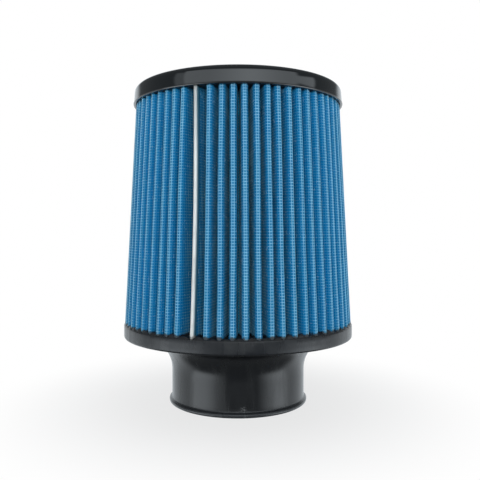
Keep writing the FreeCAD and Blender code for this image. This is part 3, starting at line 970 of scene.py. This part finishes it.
# %% Directions in the world
class WorldPaint(Finish):
    """The world's node tree, with the same short ways to add nodes."""

    def __init__(self, world):
        world.use_nodes = True
        self.tree = world.node_tree
        self.shader = next(node for node in self.tree.nodes if node.type == "BACKGROUND")

    def band(self, value, low, high, soft_low, soft_high):
        """1 between low and high, with a soft edge at each."""
        rise = self.span(value, low - soft_low, low + soft_low)
        fall = self.span(value, high - soft_high, high + soft_high, 1.0, 0.0)
        return self.combine("MULTIPLY", rise, fall)


DEGREE = 180 / math.pi
world = bpy.data.worlds.new("studio")
bpy.context.scene.world = world
paint = WorldPaint(world)
turn_inputs = {"Vector": paint.node("ShaderNodeTexCoord").outputs["Generated"], "Angle": -CAMERA_TURN}
turned = paint.node("ShaderNodeVectorRotate", turn_inputs, rotation_type="Z_AXIS").outputs["Vector"]
axes = paint.node("ShaderNodeSeparateXYZ", {"Vector": turned}).outputs
toward_camera = paint.combine("MULTIPLY", axes["Y"], -1.0)
sideways = paint.combine("MULTIPLY", paint.combine("ARCTAN2", axes["X"], toward_camera), DEGREE)
upward = paint.combine("MULTIPLY", paint.combine("ARCSINE", axes["Z"]), DEGREE)
ray = paint.node("ShaderNodeLightPath").outputs
mirrored = paint.combine("ADD", ray["Is Glossy Ray"], ray["Is Transmission Ray"])
print("world:", world.name)

# %% [markdown]
# The first three panels and the dim one beside them make the long reflection in the cap: a window that
# is lower at its right end and brighter in its middle. The frontal one lights the pleats and isn't
# reflected. The last two are low at the sides and make the two patches on the neck.

# %% Room and panels
# Angles are in degrees. soft is half the width of the left and the right edge, and fade that of the
# other two; lit is the light on the object, and shine the brightness in its reflections.
ROOM = (0.16, 0.20)
CEILING = (44.0, 62.0)
CEILING_LIFT = 1.4
PANELS = [
    dict(sides=(-60.0, 68.0), soft=(2.0, 4.0), heights=(9.0, 32.0), fade=1.5, lit=0.25, shine=1.05),
    dict(sides=(68.0, 91.0), soft=(4.0, 3.0), heights=(9.0, 23.5), fade=1.5, lit=0.25, shine=1.05),
    dict(sides=(-8.0, 34.0), soft=(28.0, 28.0), heights=(9.0, 32.0), fade=1.5, lit=0.0, shine=0.75),
    dict(sides=(-72.0, -60.0), soft=(3.0, 2.0), heights=(9.0, 28.0), fade=1.5, lit=0.0, shine=0.5),
    dict(sides=(-18.0, 18.0), soft=(8.0, 8.0), heights=(-14.0, 14.0), fade=6.0, lit=14.2, shine=0.0),
    dict(sides=(-86.0, -38.0), soft=(3.0, 22.0), heights=(-34.0, -6.0), fade=5.0, lit=1.2, shine=2.3),
    dict(sides=(50.0, 93.0), soft=(22.0, 3.0), heights=(-34.0, -8.5), fade=4.0, lit=0.6, shine=2.5),
]
overhead = paint.span(upward, *CEILING, 1.0, CEILING_LIFT)
light = paint.combine("MULTIPLY", overhead, paint.span(mirrored, 0.0, 1.0, *ROOM))
for panel in PANELS:
    across = paint.band(sideways, *panel["sides"], *panel["soft"])
    up_and_down = paint.band(upward, *panel["heights"], panel["fade"], panel["fade"])
    mask = paint.combine("MULTIPLY", across, up_and_down)
    brightness = paint.span(mirrored, 0.0, 1.0, panel["lit"], panel["shine"])
    light = paint.combine("ADD", light, paint.combine("MULTIPLY", mask, brightness))
print(len(PANELS), "panels")

# %% [markdown]
# The sweep is the white paper behind the filter. Its edges lean, so that it shows along the sides of
# neck and cap, and it fades towards the floor. To the camera itself the world is plain white, and so
# it is to reflections that look back at the sweep.

# %% Sweep, and what the camera sees
SWEEP_EDGE = 112.0
SWEEP_SOFT = 14.0
SWEEP_LEAN = 2.0
SWEEP_LEVEL = -12.0
SWEEP_FOOT = (-46.0, -26.0)
SWEEP_LIGHT = 1.3
DAYLIGHT = colour(0.93, 1.0, 1.05)
WHITE = colour(1.0, 1.0, 1.0)

beside = paint.combine("ABSOLUTE", sideways)
lean = paint.combine("MULTIPLY", paint.combine("MAXIMUM", upward, SWEEP_LEVEL), SWEEP_LEAN)
past_edge = paint.combine("SUBTRACT", beside, lean)
past_edge = paint.span(past_edge, SWEEP_EDGE - SWEEP_SOFT, SWEEP_EDGE + SWEEP_SOFT)
behind = paint.combine("MULTIPLY", past_edge, paint.span(upward, *SWEEP_FOOT))
light = paint.combine("ADD", light, paint.combine("MULTIPLY", behind, SWEEP_LIGHT))
seen = paint.combine("MAXIMUM", ray["Is Camera Ray"], paint.combine("MULTIPLY", mirrored, behind))
level = paint.node("ShaderNodeMix", {"Factor": seen}, data_type="FLOAT")
paint.feed(level.inputs["A"], light)
paint.feed(level.inputs["B"], 1.0)
paint.set(Strength=level.outputs["Result"], Color=paint.mix(ray["Is Camera Ray"], DAYLIGHT, WHITE))
print("world nodes:", len(paint.tree.nodes))

# %% [markdown]
# ### Floor
#
# The floor is a plain pale sheet. To the camera it is white too, so that it has no edge against the
# background, but near the filter part of its own shading is let through, and that part is the shadow.
# A shadow catcher would leave the picture see-through, which a plain white page doesn't need.
# Glossy rays pass through the floor to the world, so the neck reflects the two low panels and not a
# white sheet. That was chosen for likeness: on a real table the sheet would show in the paint.

# %% Floor
FLOOR_RADIUS = 6.0
SHADOW_REACH = (0.05, 0.18)
SHADOW_SHARE = 0.25
floor_ring, _ = turned_points(np.array([0.0, FLOOR_RADIUS]), np.array([0.0, 0.0]), 4)
floor_mesh = bpy.data.meshes.new("floor")
floor_mesh.from_pydata(floor_ring[1].tolist(), [], [tuple(range(4))])
floor = bpy.data.objects.new("floor", floor_mesh)
bpy.context.collection.objects.link(floor)
floor.visible_glossy = False

floor_finish = Finish("pale_floor")
floor_finish.set(Base_Color=colour(0.85, 0.85, 0.85), Roughness=0.9)
floor_ray = floor_finish.node("ShaderNodeLightPath").outputs
floor_mirrored = floor_finish.combine("ADD", floor_ray["Is Glossy Ray"], floor_ray["Is Transmission Ray"])
floor_seen = floor_finish.combine("MAXIMUM", floor_ray["Is Camera Ray"], floor_mirrored)
away_inputs = {0: floor_finish.object_point()}
away = floor_finish.node("ShaderNodeVectorMath", away_inputs, operation="LENGTH").outputs["Value"]
share_white = floor_finish.span(away, *SHADOW_REACH, 1.0 - SHADOW_SHARE, 1.0)
glow = floor_finish.node("ShaderNodeEmission", {"Color": WHITE, "Strength": 1.0}).outputs["Emission"]
floor_blend = floor_finish.node("ShaderNodeMixShader")
floor_finish.feed(floor_blend.inputs[0], floor_finish.combine("MULTIPLY", floor_seen, share_white))
floor_finish.feed(floor_blend.inputs[1], floor_finish.shader.outputs["BSDF"])
floor_finish.feed(floor_blend.inputs[2], glow)
output = next(node for node in floor_finish.tree.nodes if node.type == "OUTPUT_MATERIAL")
floor_finish.feed(output.inputs["Surface"], floor_blend.outputs["Shader"])
floor_finish.dress(floor)

# %% [markdown]
# ## The picture
#
# The Standard view shows a colour about as it is written.

# %% View settings, and the end of the lesson
bpy.context.scene.view_settings.view_transform = "Standard"
